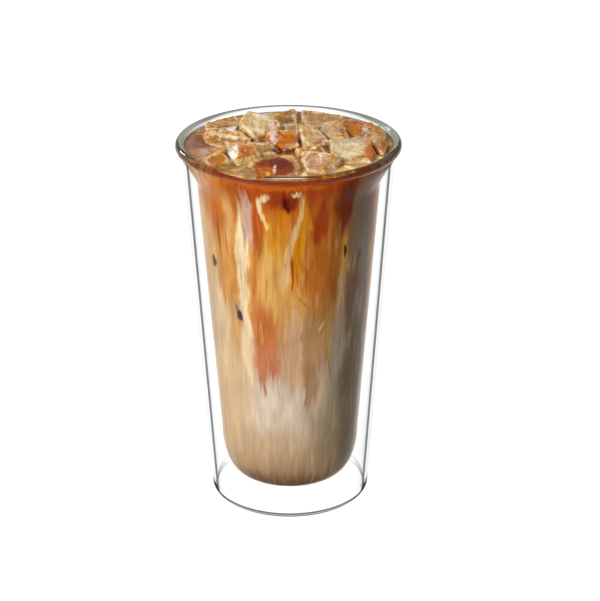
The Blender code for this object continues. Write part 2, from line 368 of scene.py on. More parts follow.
def axis_distance(tree, place):
    """How far a place is from the Z axis, in metres."""
    level_place = add(tree, "VectorMath", "MULTIPLY", _0=place, _1=(1.0, 1.0, 0.0))
    return add(tree, "VectorMath", "LENGTH", _0=level_place).outputs["Value"]


# %% The walls
# Borosilicate glass, blown thin: clear, with a dark and a pale line painted down each side, where a
# room would be seen bent along the wall. Its real IOR of 1.47 bends the drink out of shape through
# two walls at once, so less is given here
WALL_IOR = 1.12
WALL_CLEAR = "#FBFBFB"

wall_finish, tree, shader, facing = glass_finish("thin_borosilicate", WALL_IOR)
# Painted reflection: dark and pale bands by how far a face turns from the eye
painted_dark_edge = add(tree, "ValToRGB", Fac=facing, stops=ramp_stops(
    (0.52, WALL_CLEAR), (0.64, "#E4E5E4"), (0.68, "#BCBEBD"), (0.70, "#1C1E1D"), (0.75, "#1C1E1D"),
    (0.775, "#E2E3E2"), (0.84, "#CCCECD"), (1.0, "#CCCECD")))
glass_place = add(tree, "TexCoord").outputs["Object"]
glass_height = add(tree, "SeparateXYZ", Vector=glass_place).outputs["Z"]
# Only the outer wall has the painted lines: its faces lie outside the middle of that wall
wall_slope = (SHOULDER_RADIUS - BASE_RADIUS) / SHOULDER_HEIGHT
wall_middle = add(tree, "Math", "MULTIPLY_ADD", _0=glass_height, _1=wall_slope,
                  _2=BASE_RADIUS - OUTER_WALL / 2)
glass_radius = axis_distance(tree, glass_place)
is_outside = add(tree, "Math", "GREATER_THAN", _0=glass_radius, _1=wall_middle)
painted_edge_colour = add(tree, "Mix", COLOURS, _0=is_outside, _6=linear(WALL_CLEAR), _7=painted_dark_edge)
tree.links.new(painted_edge_colour.outputs[2], shader.inputs["Base Color"])
print("Wall finish:", len(tree.nodes), "nodes")

# %% The base
# The same glass, pressed flat: it is too thin to bend what shows through it, so its IOR is that
# of air. On its round corner two dark lines are painted, where real thick glass bends in the dark of
# a room, and they fade on the far side. First come the distance from the axis where the corner
# starts, the heights of the painted lines, and where they fade
AIR_IOR = 1.0
CORNER_START = 0.0294
CORNER_FULL = 0.0297
LINES_TOP = 0.0044
LOW_LINE_TOP = 0.0015
LOW_LINE_FULL = 0.0012
SIDE_START = 0.0024
SIDE_FULL = 0.0026
FADE_START = 0.004
FADE_END = 0.016
FAR_SHARE = 0.35

base_finish, tree, shader, facing = glass_finish("flat_borosilicate", AIR_IOR)
base_place = add(tree, "TexCoord").outputs["Object"]
base_parts = add(tree, "SeparateXYZ", Vector=base_place).outputs
base_height = base_parts["Z"]
base_radius = axis_distance(tree, base_place)
is_corner = add(tree, "MapRange", _0=base_radius, _1=CORNER_START, _2=CORNER_FULL)
up_corner = add(tree, "MapRange", _0=base_height, _2=LINES_TOP)
# Painted reflections: the dark lines of the corner, by height
painted_corner_lines = add(tree, "ValToRGB", Fac=up_corner, stops=ramp_stops(
    (0.0, "#0A0B0A"), (0.25, "#0A0B0A"), (0.28, "#8C8E8D"), (0.37, "#8C8E8D"), (0.39, "#242625"),
    (0.54, "#242625"), (0.58, "#FFFFFF"), (1.0, "#FFFFFF")))
# The lower painted line shows only where the corner turns away from the eye
is_low = add(tree, "MapRange", _0=base_height, _1=LOW_LINE_TOP, _2=LOW_LINE_FULL)
least_turn = add(tree, "MapRange", _0=is_low, _3=0.03, _4=0.30)
past_turn = add(tree, "Math", "SUBTRACT", _0=facing, _1=least_turn)
shows = add(tree, "MapRange", _0=past_turn, _2=0.05)
nearness = add(tree, "MapRange", _0=base_parts["Y"], _1=FADE_START, _2=FADE_END, _3=1.0, _4=FAR_SHARE)
near_corner = add(tree, "Math", "MULTIPLY", _0=nearness, _1=is_corner)
line_share = add(tree, "Math", "MULTIPLY", _0=shows, _1=near_corner)
lined = add(tree, "Mix", COLOURS, _0=line_share, _6=linear("#FFFFFF"), _7=painted_corner_lines).outputs[2]
# Above the corner the painted lines of the wall go on
painted_side_reflection = add(tree, "ValToRGB", Fac=facing, stops=ramp_stops(
    (0.52, "#FFFFFF"), (0.68, "#C4C6C5"), (0.70, "#2C2E2D"), (0.75, "#2C2E2D"), (0.775, "#D2D3D2"),
    (1.0, "#C2C3C2")))
is_upright = add(tree, "MapRange", _0=base_height, _1=SIDE_START, _2=SIDE_FULL)
side_share = add(tree, "Math", "MULTIPLY", _0=is_upright, _1=is_corner)
base_colour = add(tree, "Mix", COLOURS | {"blend_type": "MULTIPLY"}, _0=side_share,
                  _6=lined, _7=painted_side_reflection)
tree.links.new(base_colour.outputs[2], shader.inputs["Base Color"])
print("Base finish:", len(tree.nodes), "nodes")

# %% The lip
# The same glass, blown and polished in a flame, and thick enough to bend light. Where it turns from
# the eye a grey-green reflection is painted on it, and at the front a painted brown reflection of
# the drink
LIP_IOR = 1.47
LIP_FAR = 0.025
LIP_NEAR = 0.015
CREST_START = 0.1434
CREST_FULL = 0.1444
LINES_START = 0.1418
WANDER = 0.0004

lip_finish, tree, shader, facing = glass_finish("blown_borosilicate", LIP_IOR, roughness=0.04)
object_place = add(tree, "TexCoord").outputs["Object"]
lip_place = add(tree, "SeparateXYZ", Vector=object_place).outputs
round_rim = add(tree, "MapRange", _0=lip_place["Y"], _1=-RIM_RADIUS, _2=RIM_RADIUS)
# Painted reflection on the lip's edge: the brown of the drink at the front, grey-green and dark grey
# towards the back
edge_tone = add(tree, "ValToRGB", Fac=round_rim, stops=ramp_stops(
    (0.03, "#E2BC9C"), (0.12, "#A8967C"), (0.30, "#666E48"), (0.62, "#5C6250"), (0.80, "#3A3E3A")))
# On the far side only the crest gets the painted dark, and more of it
is_far = add(tree, "MapRange", _0=lip_place["Y"], _2=LIP_FAR)
full_tone = add(tree, "MapRange", _0=is_far, _3=0.55, _4=0.30)
near_edge = add(tree, "MapRange", _0=facing, _1=0.08, _2=full_tone)
is_crest = add(tree, "MapRange", _0=lip_place["Z"], _1=CREST_START, _2=CREST_FULL)
below_crest = add(tree, "Math", "SUBTRACT", _0=1.0, _1=is_crest)
cleared = add(tree, "Math", "MULTIPLY", _0=is_far, _1=below_crest)
kept = add(tree, "Math", "SUBTRACT", _0=1.0, _1=cleared)
edge_share = add(tree, "Math", "MULTIPLY", _0=near_edge, _1=kept)
lip_colour = add(tree, "Mix", COLOURS, _0=edge_share, _6=linear("#F6F8F2"), _7=edge_tone)
# Thick glass shows a few fine lines along it, painted here as grey reflections, which wander a
# little up and down
wander = add(tree, "TexNoise", Vector=object_place, Scale=120.0, Detail=2.0)
shift = add(tree, "Math", "MULTIPLY_ADD", _0=wander, _1=2 * WANDER, _2=-WANDER)
bent_height = add(tree, "Math", "ADD", _0=lip_place["Z"], _1=shift)
up_lip = add(tree, "MapRange", _0=bent_height, _1=LINES_START, _2=HEIGHT)
painted_lip_lines = add(tree, "ValToRGB", Fac=up_lip, stops=ramp_stops(
    (0.0, "#FFFFFF"), (0.20, "#B4B8AC"), (0.34, "#FFFFFF"), (0.50, "#FFFFFF"), (0.60, "#A4A89C"),
    (0.70, "#FFFFFF"), (0.84, "#FFFFFF"), (0.92, "#B8BCB0"), (1.0, "#FFFFFF")))
near_side = add(tree, "MapRange", _0=lip_place["Y"], _2=LIP_NEAR, _3=0.85, _4=0.0)
lip_lined = add(tree, "Mix", COLOURS | {"blend_type": "MULTIPLY"}, _0=near_side,
                _6=lip_colour.outputs[2], _7=painted_lip_lines)
tree.links.new(lip_lined.outputs[2], shader.inputs["Base Color"])
print("Lip finish:", len(tree.nodes), "nodes")

# %% The glass itself
LIP_START = 0.1416
BASE_TOP = 0.0034
WALL_SLOT, LIP_SLOT, BASE_SLOT = range(3)

glass = add_piece("blown_glass", turned(glass_outline()), wall_finish, lip_finish, base_finish)
for face in glass.data.polygons:
    if face.center.z > LIP_START:
        face.material_index = LIP_SLOT
    elif face.center.z < BASE_TOP:
        face.material_index = BASE_SLOT
    else:
        face.material_index = WALL_SLOT
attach(glass, "root")
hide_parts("glass")
print("Glass:", len(glass.data.polygons), "faces")

# %% [markdown]
# ## The plug
#
# A double wall is blown with a small hole, which lets the hot air out, and a plug closes it
# afterwards. The CAD plug is plain enough to keep, so it only gets a finish.

# %% Silicone plug
# Silicone rubber, moulded: half clear and cloudy, with the soft shine of the mould
plug_finish, tree, shader = finish_of(
    "moulded_silicone", Roughness=0.35, IOR=1.41, Transmission_Weight=0.6)
plug_place = add(tree, "TexCoord").outputs["Object"]
cloudiness = add(tree, "TexNoise", Vector=plug_place, Scale=900.0, Detail=2.0)
clouds = add(tree, "ValToRGB", Fac=cloudiness, stops=ramp_stops((0.35, "#E2E3DE"), (0.65, "#F8F8F6")))
tree.links.new(clouds.outputs["Color"], shader.inputs["Base Color"])
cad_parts["vent_plug"].material_slots[0].material = plug_finish
print("Plug finish:", len(tree.nodes), "nodes")

# %% [markdown]
# ## The drink
#
# Coffee poured over milk marbles as it sinks. Seen through the glass it is all upright streaks:
# orange and amber at the top, caramel drips, then pale milk, and tan near the floor.
#
# Its shape is the inside of the glass, turned again and cut round each piece of ice. It reaches
# a little into the glass, because a gap between them would show as a film of air.

# %% Shape of the drink
DRINK_LEVEL = 0.1426
REACH = 0.0002
MARBLE_SPLIT = 84.0
POCKET_SHRINK = -0.00025
POINTS_UP = 0.9


def drink_outline():
    """The drink's outline, just into the glass, from the floor's centre to the surface's."""
    side = offset(bowl_outline(), REACH)
    below = [point for point in side if point[1] < DRINK_LEVEL]
    above = side[len(below)]
    share = (DRINK_LEVEL - below[-1][1]) / (above[1] - below[-1][1])
    edge = below[-1][0] + share * (above[0] - below[-1][0])
    return below + [(edge, DRINK_LEVEL), (0.0, DRINK_LEVEL)]


def merged_copy(node):
    """A bmesh of a CAD node, with its loose triangles joined."""
    bm = bmesh.new()
    bm.from_mesh(node.data)
    bmesh.ops.remove_doubles(bm, verts=bm.verts, dist=WELD)
    bm.normal_update()
    return bm


ice_nodes = {name: node for name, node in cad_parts.items() if name.startswith("ice_")}
pockets_bm = bmesh.new()
for node in ice_nodes.values():
    block = merged_copy(node)
    corners = [pockets_bm.verts.new(v.co + v.normal * POCKET_SHRINK) for v in block.verts]
    bmesh.ops.convex_hull(pockets_bm, input=corners)
    loose = [vert for vert in corners if not vert.link_faces]
    bmesh.ops.delete(pockets_bm, geom=loose, context="VERTS")
    block.free()
bmesh.ops.recalc_face_normals(pockets_bm, faces=pockets_bm.faces)
print("Pockets:", len(ice_nodes))

# %% Finishes of the drink, and its pockets cut
# Coffee and milk, poured: wet against the glass, so the glass has all the shine. Only the open
# surface mirrors the room, and the coffee that clings round the ice has a dull shine
upper_finish, upper_tree, upper_shader = finish_of(
    "coffee_streaked_with_milk", Roughness=0.6, Specular_IOR_Level=0.0)
lower_finish, lower_tree, lower_shader = finish_of(
    "milk_streaked_with_coffee", Roughness=0.6, Specular_IOR_Level=0.0)
top_finish, top_tree, top_shader = finish_of(
    "coffee_surface", Roughness=0.1, IOR=1.34, Specular_IOR_Level=0.3)
pocket_finish, pocket_tree, pocket_shader = finish_of(
    "coffee_round_ice", Roughness=0.5, Specular_IOR_Level=0.1)

drink = add_piece("coffee", turned(drink_outline()), upper_finish)
cutter = add_piece("pockets", pockets_bm, pocket_finish)
cut = drink.modifiers.new("pockets", "BOOLEAN")
cut.operation = "DIFFERENCE"
cut.solver = "EXACT"
cut.material_mode = "TRANSFER"
cut.object = cutter
cut_mesh = bpy.data.meshes.new_from_object(drink.evaluated_get(bpy.context.evaluated_depsgraph_get()))
drink.modifiers.clear()
drink.data = cut_mesh
bpy.data.objects.remove(cutter, do_unlink=True)
cut_mesh.materials.append(top_finish)
cut_mesh.materials.append(lower_finish)
upper_slot, top_slot, lower_slot = (
    list(cut_mesh.materials).index(finish) for finish in (upper_finish, top_finish, lower_finish))
for face in cut_mesh.polygons:
    if face.center.z > DRINK_LEVEL - WELD and face.normal.z > POINTS_UP:
        face.material_index = top_slot
    elif face.center.z < MARBLE_SPLIT / 1000 and face.material_index == upper_slot:
        face.material_index = lower_slot
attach(drink, "root")
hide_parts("drink")
print("Drink:", len(cut_mesh.polygons), "faces", [m.name for m in cut_mesh.materials])

# %% [markdown]
# ## The marbled coffee
#
# The pattern is drawn on a flat map of the glass's side: the angle round it, with the front at
# zero, and the height. Each patch and drip is a soft ellipse on that map, pulled out of shape by
# noise that changes fast across and slowly down, which is what makes liquid streaks. Two liquids
# could be simulated instead, but then no streak would fall where it is wanted.
# Greyish-brown patches round the right side are coffee marbling darkened with painted shade, where less
# of the lamp's light falls, and the far side repeats them.

# %% A map of the side
SIDE_RADIUS = 30.0


def side_map(tree):
    """Angle from the front (degrees), height (mm) and direction from the axis."""
    place = add(tree, "TexCoord").outputs["Object"]
    parts = add(tree, "SeparateXYZ", Vector=place).outputs
    back = add(tree, "Math", "MULTIPLY", _0=parts["Y"], _1=-1.0)
    turn = add(tree, "Math", "ARCTAN2", _0=parts["X"], _1=back)
    angle = add(tree, "Math", "DEGREES", _0=turn)
    height = add(tree, "Math", "MULTIPLY", _0=parts["Z"], _1=1000.0)
    # The far side repeats the near one, mirrored, so that the map has no seam
    ahead = add(tree, "Math", "ADD", _0=angle, _1=90.0)
    fold = add(tree, "Math", "PINGPONG", _0=ahead, _1=180.0)
    folded = add(tree, "Math", "SUBTRACT", _0=fold, _1=90.0)
    flat_place = add(tree, "VectorMath", "MULTIPLY", _0=place, _1=(1.0, 1.0, 0.0))
    round_place = add(tree, "VectorMath", "NORMALIZE", _0=flat_place)
    return folded, height, round_place


def streaks(tree, surface, across, down, detail=2.0):
    """Noise from 0 to 1 with cells of a width and a length in millimetres."""
    _, height, round_place = surface
    wide = SIDE_RADIUS / across
    width = add(tree, "VectorMath", "MULTIPLY", _0=round_place, _1=(wide, wide, 0.0))
    length = add(tree, "Math", "DIVIDE", _0=height, _1=down)
    shift = add(tree, "CombineXYZ", Z=length)
    both = add(tree, "VectorMath", "ADD", _0=width, _1=shift)
    return add(tree, "TexNoise", Vector=both, Scale=1.0, Detail=detail, Roughness=0.6)


def spread(tree, value, low, high):
    """Stretches the middle half of a noise to a range."""
    return add(tree, "MapRange", {"clamp": False}, _0=value, _1=0.3, _2=0.7, _3=low, _4=high)


# %% From the colour that shows to the colour of the liquid
# What lies against glass looks deeper than it is, because the glass throws part of its light
# back. The rest gets out, and the studio lights a white surface to its own level
GLASS_ESCAPE = 0.80
STUDIO_LEVEL = 1.56
WHITEST_MILK = 0.9


def wetted(hex_colour):
    """The dry colour of what shows as this colour where it touches the inside of glass."""
    shown = [min(value / STUDIO_LEVEL, WHITEST_MILK) for value in linear(hex_colour)[:3]]
    return (*(value / (GLASS_ESCAPE + (1 - GLASS_ESCAPE) * value) for value in shown), 1.0)


print("White behind the glass is", [round(value, 3) for value in wetted("#FFFFFF")[:3]])

# %% Colours of the marbling, from the floor up: height in millimetres, colour
LAYERS = (
    (10.5, "#5E4128"), (13, "#7E5C3E"), (17, "#9E7E5C"), (26, "#BA9A76"), (36, "#C9AE90"),
    (47, "#D2B99C"), (56, "#CFB193"), (66, "#C59670"), (78, "#C68B50"), (92, "#D29850"),
    (104, "#D6983E"), (116, "#CE8328"), (125, "#C4701E"), (131, "#B65818"), (136, "#A84412"),
    (139, "#A03C12"),
)
HIGHEST = 145.0
# Strands: colour, cell width and length (mm), noise from and to, height from and to, strength
STRANDS = (
    ("#A0501A", 1.6, 13.0, (0.52, 0.68), (66.0, 96.0), 0.6),
    ("#E2C08A", 1.9, 16.0, (0.44, 0.30), (128.0, 108.0), 0.45),
)
print("Marbling:", len(LAYERS), "layers and", len(STRANDS), "kinds of strand")

# %% Patches and drips: colour, middle (degrees, mm), half size, lean, softness, strength
PATCHES = (
    ("#C99F68", (-78, 70), (24, 60), 0, 0.35, 0.8),
    ("#D9C49E", (-57, 78), (12, 24), 0, 0.5, 0.75),
    ("#CB8B42", (-48, 106), (9, 22), 0, 0.35, 0.85),
    ("#C4741E", (-56, 130), (20, 13), 0, 0.45, 0.95),
    ("#B8581A", (-55, 122), (7, 6), 0, 0.5, 0.7),
    ("#DCAE68", (-42, 122), (4, 10), 0, 0.5, 0.7),
    ("#D6AC70", (-70, 112), (10, 12), 0, 0.5, 0.8),
    ("#D2AE7E", (-55, 46), (20, 26), 0, 0.6, 0.7),
    ("#CE9A54", (-44, 73), (5, 6), 0, 0.4, 0.7),
    ("#C09868", (-60, 70), (3, 5), 0, 0.5, 0.7),
    # Painted shade: the greyish-brown patches from here to #705C42, between 36 and 60 degrees, are
    # marbling darkened where less light falls; the one at 87 degrees is marbling only
    ("#7A6444", (54, 124), (16, 16), 0, 0.35, 0.95),
    ("#75634C", (58, 62), (16, 66), 0, 0.35, 0.95),
    ("#857866", (58, 96), (9, 22), 0, 0.5, 0.7),
    ("#BFA07A", (87, 36), (12, 44), 0, 0.5, 0.75),
    ("#A3927C", (38, 68), (9, 20), 0, 0.4, 0.9),
    ("#9A876E", (41, 92), (6, 12), 0, 0.6, 0.6),
    ("#74523A", (49, 93), (7, 10), 0, 0.35, 0.85),
    ("#6A5036", (57, 52), (12, 24), 0, 0.5, 0.6),
    ("#8A7458", (36, 36), (16, 18), 0, 0.6, 0.6),
    ("#705C42", (45, 57), (4, 5), 0, 0.6, 0.6),
    ("#EED6A8", (-33, 99), (4.4, 26), 0, 0.35, 0.95),
    ("#E2C9A0", (-33, 73), (5, 20), 0, 0.5, 0.8),
    ("#D0A58C", (-27, 125), (4.4, 13), 0, 0.30, 0.95),
    ("#B04A16", (-19.5, 120), (4.5, 13), 0, 0.35, 0.92),
    ("#C26C30", (-24, 100), (2.6, 14), 0, 0.4, 0.7),
    ("#BC6630", (-19, 78), (9.0, 12), 0, 0.25, 0.85),
    ("#C4744E", (-17, 66), (8.5, 8), 0, 0.22, 0.9),
    ("#BC7458", (-20, 58), (3.0, 8), 0, 0.25, 0.85),
    ("#C08058", (-9.5, 58), (2.0, 7), 0, 0.25, 0.7),
    ("#E0AC5A", (-13, 101), (7, 13), 0, 0.5, 0.85),
    ("#DE9420", (-8, 119), (4, 8), 0, 0.5, 0.85),
    ("#E2A85A", (-4, 106), (3.4, 9), 0, 0.5, 0.7),
    ("#D8880C", (5.8, 111), (3.6, 9), 0, 0.4, 0.95),
    ("#DA8E18", (11, 124), (3.0, 8), 0, 0.5, 0.8),
    ("#B5621C", (21, 101), (11, 15), 0, 0.35, 0.9),
    ("#9A3414", (21, 122), (6, 8), 0, 0.35, 0.92),
    ("#C0641C", (30, 124), (3, 10), 0, 0.5, 0.7),
    ("#661E0A", (37, 128), (6.5, 12), 0, 0.35, 0.97),
    ("#8A4416", (32, 106), (4.5, 16), 0, 0.5, 0.75),
    ("#A86C34", (24, 84), (9, 8), 0, 0.4, 0.8),
    ("#B48858", (15, 72), (8, 14), 0, 0.25, 0.85),
    ("#AE8258", (15, 56), (6, 10), 0, 0.25, 0.85),
    ("#B98C50", (28, 74), (5, 9), 10, 0.3, 0.85),
    ("#CFA27A", (3, 72), (6, 16), 0, 0.3, 0.9),
    ("#D8C6B0", (-14, 46), (15, 11), 0, 0.45, 0.9),
    ("#D2BEA6", (2, 45), (10, 9), 0, 0.5, 0.7),
    ("#D0A882", (-80, 139), (28, 5.5), 0, 0.4, 0.75),
    ("#B3947A", (80, 139), (28, 5.5), 0, 0.4, 0.75),
)
DRIPS = (
    ("#9A3210", (-8, 134), (4.5, 3.0), 0, 0.5, 0.8),
    ("#D07614", (-4, 127), (4.0, 4.0), 0, 0.5, 0.8),
    ("#8A1C0C", (0, 133), (4.6, 4.6), 0, 0.35, 0.97),
    ("#4E0C08", (-0.6, 132), (2.8, 3.0), 0, 0.35, 0.97),
    ("#F0D49C", (-14.5, 134.8), (3.2, 1.5), 35, 0.35, 0.92),
    ("#F0D49C", (-18.2, 130.6), (1.8, 3.2), 5, 0.35, 0.92),
    ("#EBC880", (-15.4, 125.3), (1.3, 4.2), 40, 0.4, 0.9),
    ("#F0D49C", (4.6, 136.0), (3.4, 1.0), -8, 0.4, 0.9),
    ("#E6B868", (7.6, 131.6), (1.8, 3.6), -8, 0.35, 0.92),
    ("#E6B868", (6.2, 125.8), (1.7, 4.2), -22, 0.35, 0.92),
    ("#E8C07C", (3.6, 119.4), (2.0, 4.8), -28, 0.35, 0.92),
    ("#E4B870", (0.4, 112), (2.0, 5.6), -24, 0.3, 0.92),
    ("#E0B478", (-2.4, 103), (2.4, 8.0), -10, 0.4, 0.85),
    ("#A44614", (1.8, 103), (0.9, 7.6), 0, 0.3, 0.95),
    ("#AC5216", (11.6, 107), (0.9, 12.0), 0, 0.3, 0.85),
    ("#98301A", (-53, 115), (1.2, 6.0), 0, 0.3, 0.9),
    ("#A86038", (-45, 113), (0.7, 5.0), 5, 0.3, 0.8),
    ("#B0702E", (-56, 95), (1.4, 4.0), 0, 0.4, 0.7),
    ("#241418", (-61.5, 102.5), (2.4, 2.4), -20, 0.25, 0.97),
    ("#54463A", (-58.5, 102.2), (1.6, 0.9), 0, 0.4, 0.8),
    ("#1C1C34", (-38.4, 83.2), (2.6, 2.2), -10, 0.25, 0.97),
    ("#565074", (-40.6, 86.4), (0.8, 2.6), 38, 0.3, 0.9),
    ("#140C0A", (40.3, 110.5), (1.5, 2.5), 0, 0.25, 0.97),
    ("#3A2C20", (55, 105.8), (1.9, 1.3), 0, 0.4, 0.85),
    ("#8C8096", (-30.3, 119), (1.1, 4.0), 0, 0.4, 0.75),
    ("#9A6428", (31, 63.5), (0.6, 6.0), 26, 0.4, 0.85),
    ("#9A6A30", (9, 92), (0.5, 6.5), 52, 0.4, 0.7),
    ("#D8C4A0", (23, 80.5), (2.6, 0.8), 25, 0.4, 0.8),
    ("#B0603C", (-19.5, 54), (0.9, 4.0), 12, 0.4, 0.8),
    ("#C08A66", (-9.0, 55), (0.7, 5.0), 8, 0.4, 0.7),
    ("#A07850", (12.6, 52), (0.8, 6.0), -6, 0.4, 0.7),
    ("#D06A1E", (-12, 139.5), (40, 1.2), 0, 0.5, 0.5),
)
PATCH_MARGIN = 16.0
DRIP_MARGIN = 4.0
print("On the side:", len(PATCHES), "patches and", len(DRIPS), "drips")

# %% Laying the patches
def lay_patches(tree, colour, surface_map, patches, dry=wetted):
    """Lays soft ellipses over a colour, one after the other."""
    for shade, middle, half, lean, softness, strength in patches:
        local = add(tree, "Mapping", {"vector_type": "TEXTURE"}, Vector=surface_map,
                    Location=(*middle, 0.0), Rotation=(0.0, 0.0, radians(lean)), Scale=(*half, 1.0))
        away = add(tree, "VectorMath", "LENGTH", _0=local).outputs["Value"]
        mask = add(tree, "MapRange", {"interpolation_type": "SMOOTHSTEP"}, _0=away,
                   _1=1 + softness, _2=1 - softness, _4=strength)
        colour = add(tree, "Mix", COLOURS, _0=mask, _6=colour, _7=dry(shade)).outputs[2]
    return colour


def within(patches, lowest, highest, margin):
    """The patches that reach into a range of heights, as noise moves them by up to a margin."""
    return [patch for patch in patches
            if patch[1][1] - patch[2][1] - margin < highest
            and patch[1][1] + patch[2][1] + margin > lowest]


def marble(tree, shader, lowest, highest):
    """Paints the side of the drink between two heights in millimetres."""
    surface = side_map(tree)
    angle, height, _ = surface
    sway = spread(tree, streaks(tree, surface, 5.0, 12.0, 3.0), -2.6, 2.6)
    ragged = spread(tree, streaks(tree, surface, 2.6, 45.0, 4.0), -6.0, 6.0)
    # The layers lie calmer near the floor
    calm = add(tree, "MapRange", _0=height, _1=14.0, _2=55.0, _3=0.15, _4=1.0)
    height_bent = add(tree, "Math", "MULTIPLY_ADD", _0=ragged, _1=calm, _2=height)
    layer_place = add(tree, "Math", "DIVIDE", _0=height_bent, _1=HIGHEST)
    layers = add(tree, "ValToRGB", Fac=layer_place, stops=[
        (millimetres / HIGHEST, wetted(colour)) for millimetres, colour in LAYERS])
    swayed = add(tree, "Math", "ADD", _0=sway, _1=angle)
    bent_map = add(tree, "CombineXYZ", X=swayed, Y=height_bent)
    colour = lay_patches(tree, layers, bent_map, within(PATCHES, lowest, highest, PATCH_MARGIN))
    # The drips bend less, and fray at their ends
    bent = add(tree, "Math", "MULTIPLY_ADD", _0=sway, _1=0.35, _2=angle)
    ends = spread(tree, streaks(tree, surface, 1.4, 30.0), -1.5, 1.5)
    frayed = add(tree, "Math", "ADD", _0=ends, _1=height)
    near_map = add(tree, "CombineXYZ", X=bent, Y=frayed)
    colour = lay_patches(tree, colour, near_map, within(DRIPS, lowest, highest, DRIP_MARGIN))
    # Strands of darker coffee and lighter milk run down among the patches
    for tone, across, down, noise_span, height_span, strength in STRANDS:
        cells = streaks(tree, surface, across, down, 4.0)
        strand = add(tree, "MapRange", _0=cells, _1=noise_span[0], _2=noise_span[1])
        most = add(tree, "MapRange", _0=height_bent, _1=height_span[0], _2=height_span[1], _4=strength)
        share = add(tree, "Math", "MULTIPLY", _0=strand, _1=most)
        colour = add(tree, "Mix", COLOURS, _0=share, _6=colour, _7=wetted(tone)).outputs[2]
    # Fine streaks lighten and darken what is there
    fine = spread(tree, streaks(tree, surface, 1.1, 9.0, 3.0), 0.91, 1.09)
    broad = spread(tree, streaks(tree, surface, 4.0, 14.0, 4.0), 0.84, 1.16)
    shade = add(tree, "Math", "MULTIPLY", _0=fine, _1=broad)
    colour = add(tree, "VectorMath", "SCALE", _0=colour, Scale=shade).outputs[0]
    tree.links.new(colour, shader.inputs["Base Color"])
    return len(tree.nodes)


print("Marbling:", marble(upper_tree, upper_shader, MARBLE_SPLIT, HIGHEST), "nodes above and",
      marble(lower_tree, lower_shader, 0.0, MARBLE_SPLIT), "below")

# %% [markdown]
# ## The surface, and the light in the ice
#
# Wet ice in coffee is a patchwork: cream edges, tan faces, and clear windows. The amber that
# the windows would show of the drink below is painted on them, and so are white highlights,
# glints and a shadow in a gap at the front. The patches are drawn on one map for the ice and the
# surface between it. The map is a plane that leans back, so it reaches the tops and the fronts of
# the pieces alike, and noise bends it, so that the outlines of the patches are ragged. Clear ice
# alone would need many more rays, and would not put its windows where they are wanted.

# %% A leaning map of the ice
LEAN_Y = 0.327
LEAN_Z = 0.945
RIM_MM = 145.0


def millimetres_of(tree):
    """The place on the object in millimetres."""
    place = add(tree, "TexCoord").outputs["Object"]
    return add(tree, "VectorMath", "SCALE", _0=place, Scale=1000.0)


def leaning_map(tree, ragged_mm=0.7):
    """X, and how far up the leaning plane, in millimetres, and the place in millimetres."""
    in_mm = millimetres_of(tree)
    parts = add(tree, "SeparateXYZ", Vector=in_mm).outputs
    raised = add(tree, "Math", "MULTIPLY_ADD", _0=parts["Z"], _1=LEAN_Z, _2=-RIM_MM * LEAN_Z)
    up = add(tree, "Math", "MULTIPLY_ADD", _0=parts["Y"], _1=LEAN_Y, _2=raised)
    flat = add(tree, "CombineXYZ", X=parts["X"], Y=up)
    bends = add(tree, "TexNoise", Vector=in_mm, Scale=0.55, Detail=3.0, Roughness=0.6).outputs["Color"]
    centred = add(tree, "VectorMath", "SUBTRACT", _0=bends, _1=(0.5, 0.5, 0.5))
    shift = add(tree, "VectorMath", "SCALE", _0=centred, Scale=ragged_mm * 4)
    return add(tree, "VectorMath", "ADD", _0=flat, _1=shift), in_mm


def mottled(tree, in_mm, size, low, high, detail=3.0):
    """Noise with cells of a size in millimetres, stretched to a range."""
    cells = add(tree, "TexNoise", Vector=in_mm, Scale=1.0 / size, Detail=detail, Roughness=0.6)
    return spread(tree, cells, low, high)


# %% From the colour that shows to the colour of the ice
# How bright the studio lights what is up here, and the white that a wet gloss lays over it. The
# clear windows catch more of the light and less of the gloss
ICE_LEVEL = 1.15
WET_GLOSS = 0.075
WINDOW_LEVEL = 1.4
WINDOW_GLOSS = 0.02
DARKEST = 0.004
BRIGHTEST = 0.92


def lit(hex_colour, gloss=WET_GLOSS, level=ICE_LEVEL):
    """The colour of what shows as this colour in the open studio, without its wet gloss."""
    under = [(value - gloss) / level for value in linear(hex_colour)[:3]]
    return (*(min(max(value, DARKEST), BRIGHTEST) for value in under), 1.0)


def painted_window_glow(hex_colour):
    """The same for the painted windows, the amber of the drink that clear ice would show, with their
    painted glints; they are painted on after the edges and the cracks.
    """
    return lit(hex_colour, WINDOW_GLOSS, WINDOW_LEVEL)


print("White on the ice is", [round(value, 3) for value in lit("#FFFFFF")[:3]])

